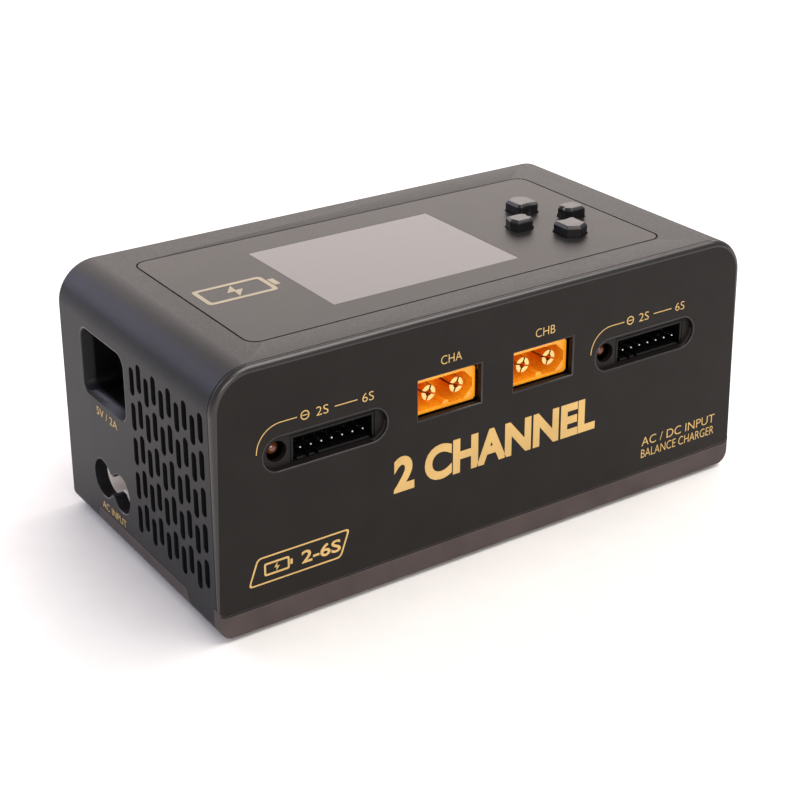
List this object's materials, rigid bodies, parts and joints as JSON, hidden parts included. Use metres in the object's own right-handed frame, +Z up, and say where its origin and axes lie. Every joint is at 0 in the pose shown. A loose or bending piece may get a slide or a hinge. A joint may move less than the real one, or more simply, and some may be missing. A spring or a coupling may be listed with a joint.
{
  "type": "balance battery charger",
  "caption": "Rounded box battery charger with a display and key pad on top, and power and balance sockets in front.",
  "frame": {"origin": "middle of the base, on the surface the feet stand on", "axes": "+Z up, +X to the right along the length as seen from the sockets, sockets face -Y"},
  "size_m": [0.14, 0.072, 0.0626],
  "materials": {
    "case_satin": "satin moulded plastic with a fine texture",
    "panel_matt": "matt moulded plastic with printed legends",
    "tray_matt": "matt moulded plastic, brown-grey",
    "plate_satin": "satin printed plate",
    "window_clear": "light grey display window, semi gloss",
    "lcd_glass": "display glass",
    "steel_bright": "plated steel",
    "steel_black": "blackened steel",
    "board_green": "solder mask on glass fibre board",
    "nylon_black": "moulded nylon",
    "key_satin": "satin moulded plastic",
    "nylon_ivory": "moulded nylon, off-white",
    "brass_plain": "turned brass",
    "rubber_black": "moulded rubber",
    "nylon_amber": "semi-gloss amber nylon",
    "contact_gold": "gold-plated contact",
    "lamp_amber": "clear tinted resin",
    "lead_black": "soft insulated lead",
    "ferrite_grey": "sintered ferrite",
    "coil_tape": "wound coil under polyester tape",
    "sleeve_blue": "shrink sleeve",
    "coil_copper": "enamelled copper wire",
    "aluminium_fin": "extruded aluminium",
    "pad_silicone": "soft silicone pad",
    "sheet_film": "thin insulating film"
  },
  "bodies": {
    "case": {"upper_shell": "case_satin", "front_panel": "panel_matt", "bottom_tray": "tray_matt", "top_plate": "plate_satin", "display_window": "window_clear", "lcd_panel": "lcd_glass", "lcd_frame": "steel_bright", "display_board": "board_green", "switch_bodies": "nylon_black", "display_ribbon": "nylon_ivory", "main_board": "board_green", "power_board": "board_green", "board_spacers": "brass_plain", "board_screws": "steel_bright", "case_screws": "steel_black", "foot_front_left": "rubber_black", "foot_front_right": "rubber_black", "foot_back_left": "rubber_black", "foot_back_right": "rubber_black", "output_housing_a": "nylon_amber", "output_housing_b": "nylon_amber", "output_pins_a": "contact_gold", "output_pins_b": "contact_gold", "balance_header_a": "nylon_black", "balance_header_b": "nylon_black", "balance_pins_a": "contact_gold", "balance_pins_b": "contact_gold", "status_light_a": "lamp_amber", "status_light_b": "lamp_amber", "usb_shell": "steel_bright", "usb_tongue": "nylon_ivory", "mains_inlet": "nylon_ivory", "mains_pins": "steel_bright", "dc_housing": "nylon_amber", "dc_pins": "contact_gold", "fan_frame": "nylon_black", "fan_bearing": "brass_plain", "fan_lead": "lead_black", "transformer_core": "ferrite_grey", "transformer_coil": "coil_tape", "bulk_capacitors": "sleeve_blue", "output_capacitors": "sleeve_blue", "mains_choke": "coil_copper", "heatsinks": "aluminium_fin", "power_transistors": "nylon_black", "buck_inductors": "ferrite_grey", "cooling_plate": "aluminium_fin", "thermal_pad": "pad_silicone", "controller_chip": "nylon_black", "insulation_sheet": "sheet_film"},
    "button_back": {"key_back": "key_satin", "plunger_back": "nylon_ivory"},
    "button_front": {"key_front": "key_satin", "plunger_front": "nylon_ivory"},
    "button_left": {"key_left": "key_satin", "plunger_left": "nylon_ivory"},
    "button_right": {"key_right": "key_satin", "plunger_right": "nylon_ivory"},
    "rotor": {"fan_rotor": "nylon_black"}
  },
  "joints": [
    {"name": "press_back", "type": "slide", "parent": "case", "child": "button_back", "axis": [0, 0, -1], "range_m": [0, 0.0005], "stiffness_N_per_m": 1500, "springref_m": -0.0001},
    {"name": "press_front", "type": "slide", "parent": "case", "child": "button_front", "axis": [0, 0, -1], "range_m": [0, 0.0005], "stiffness_N_per_m": 1500, "springref_m": -0.0001},
    {"name": "press_left", "type": "slide", "parent": "case", "child": "button_left", "axis": [0, 0, -1], "range_m": [0, 0.0005], "stiffness_N_per_m": 1500, "springref_m": -0.0001},
    {"name": "press_right", "type": "slide", "parent": "case", "child": "button_right", "axis": [0, 0, -1], "range_m": [0, 0.0005], "stiffness_N_per_m": 1500, "springref_m": -0.0001},
    {"name": "fan_spin", "type": "hinge", "parent": "case", "child": "rotor", "pos_m": [0.0622, -0.0156, 0.03], "axis": [1, 0, 0], "continuous": true}
  ]
}
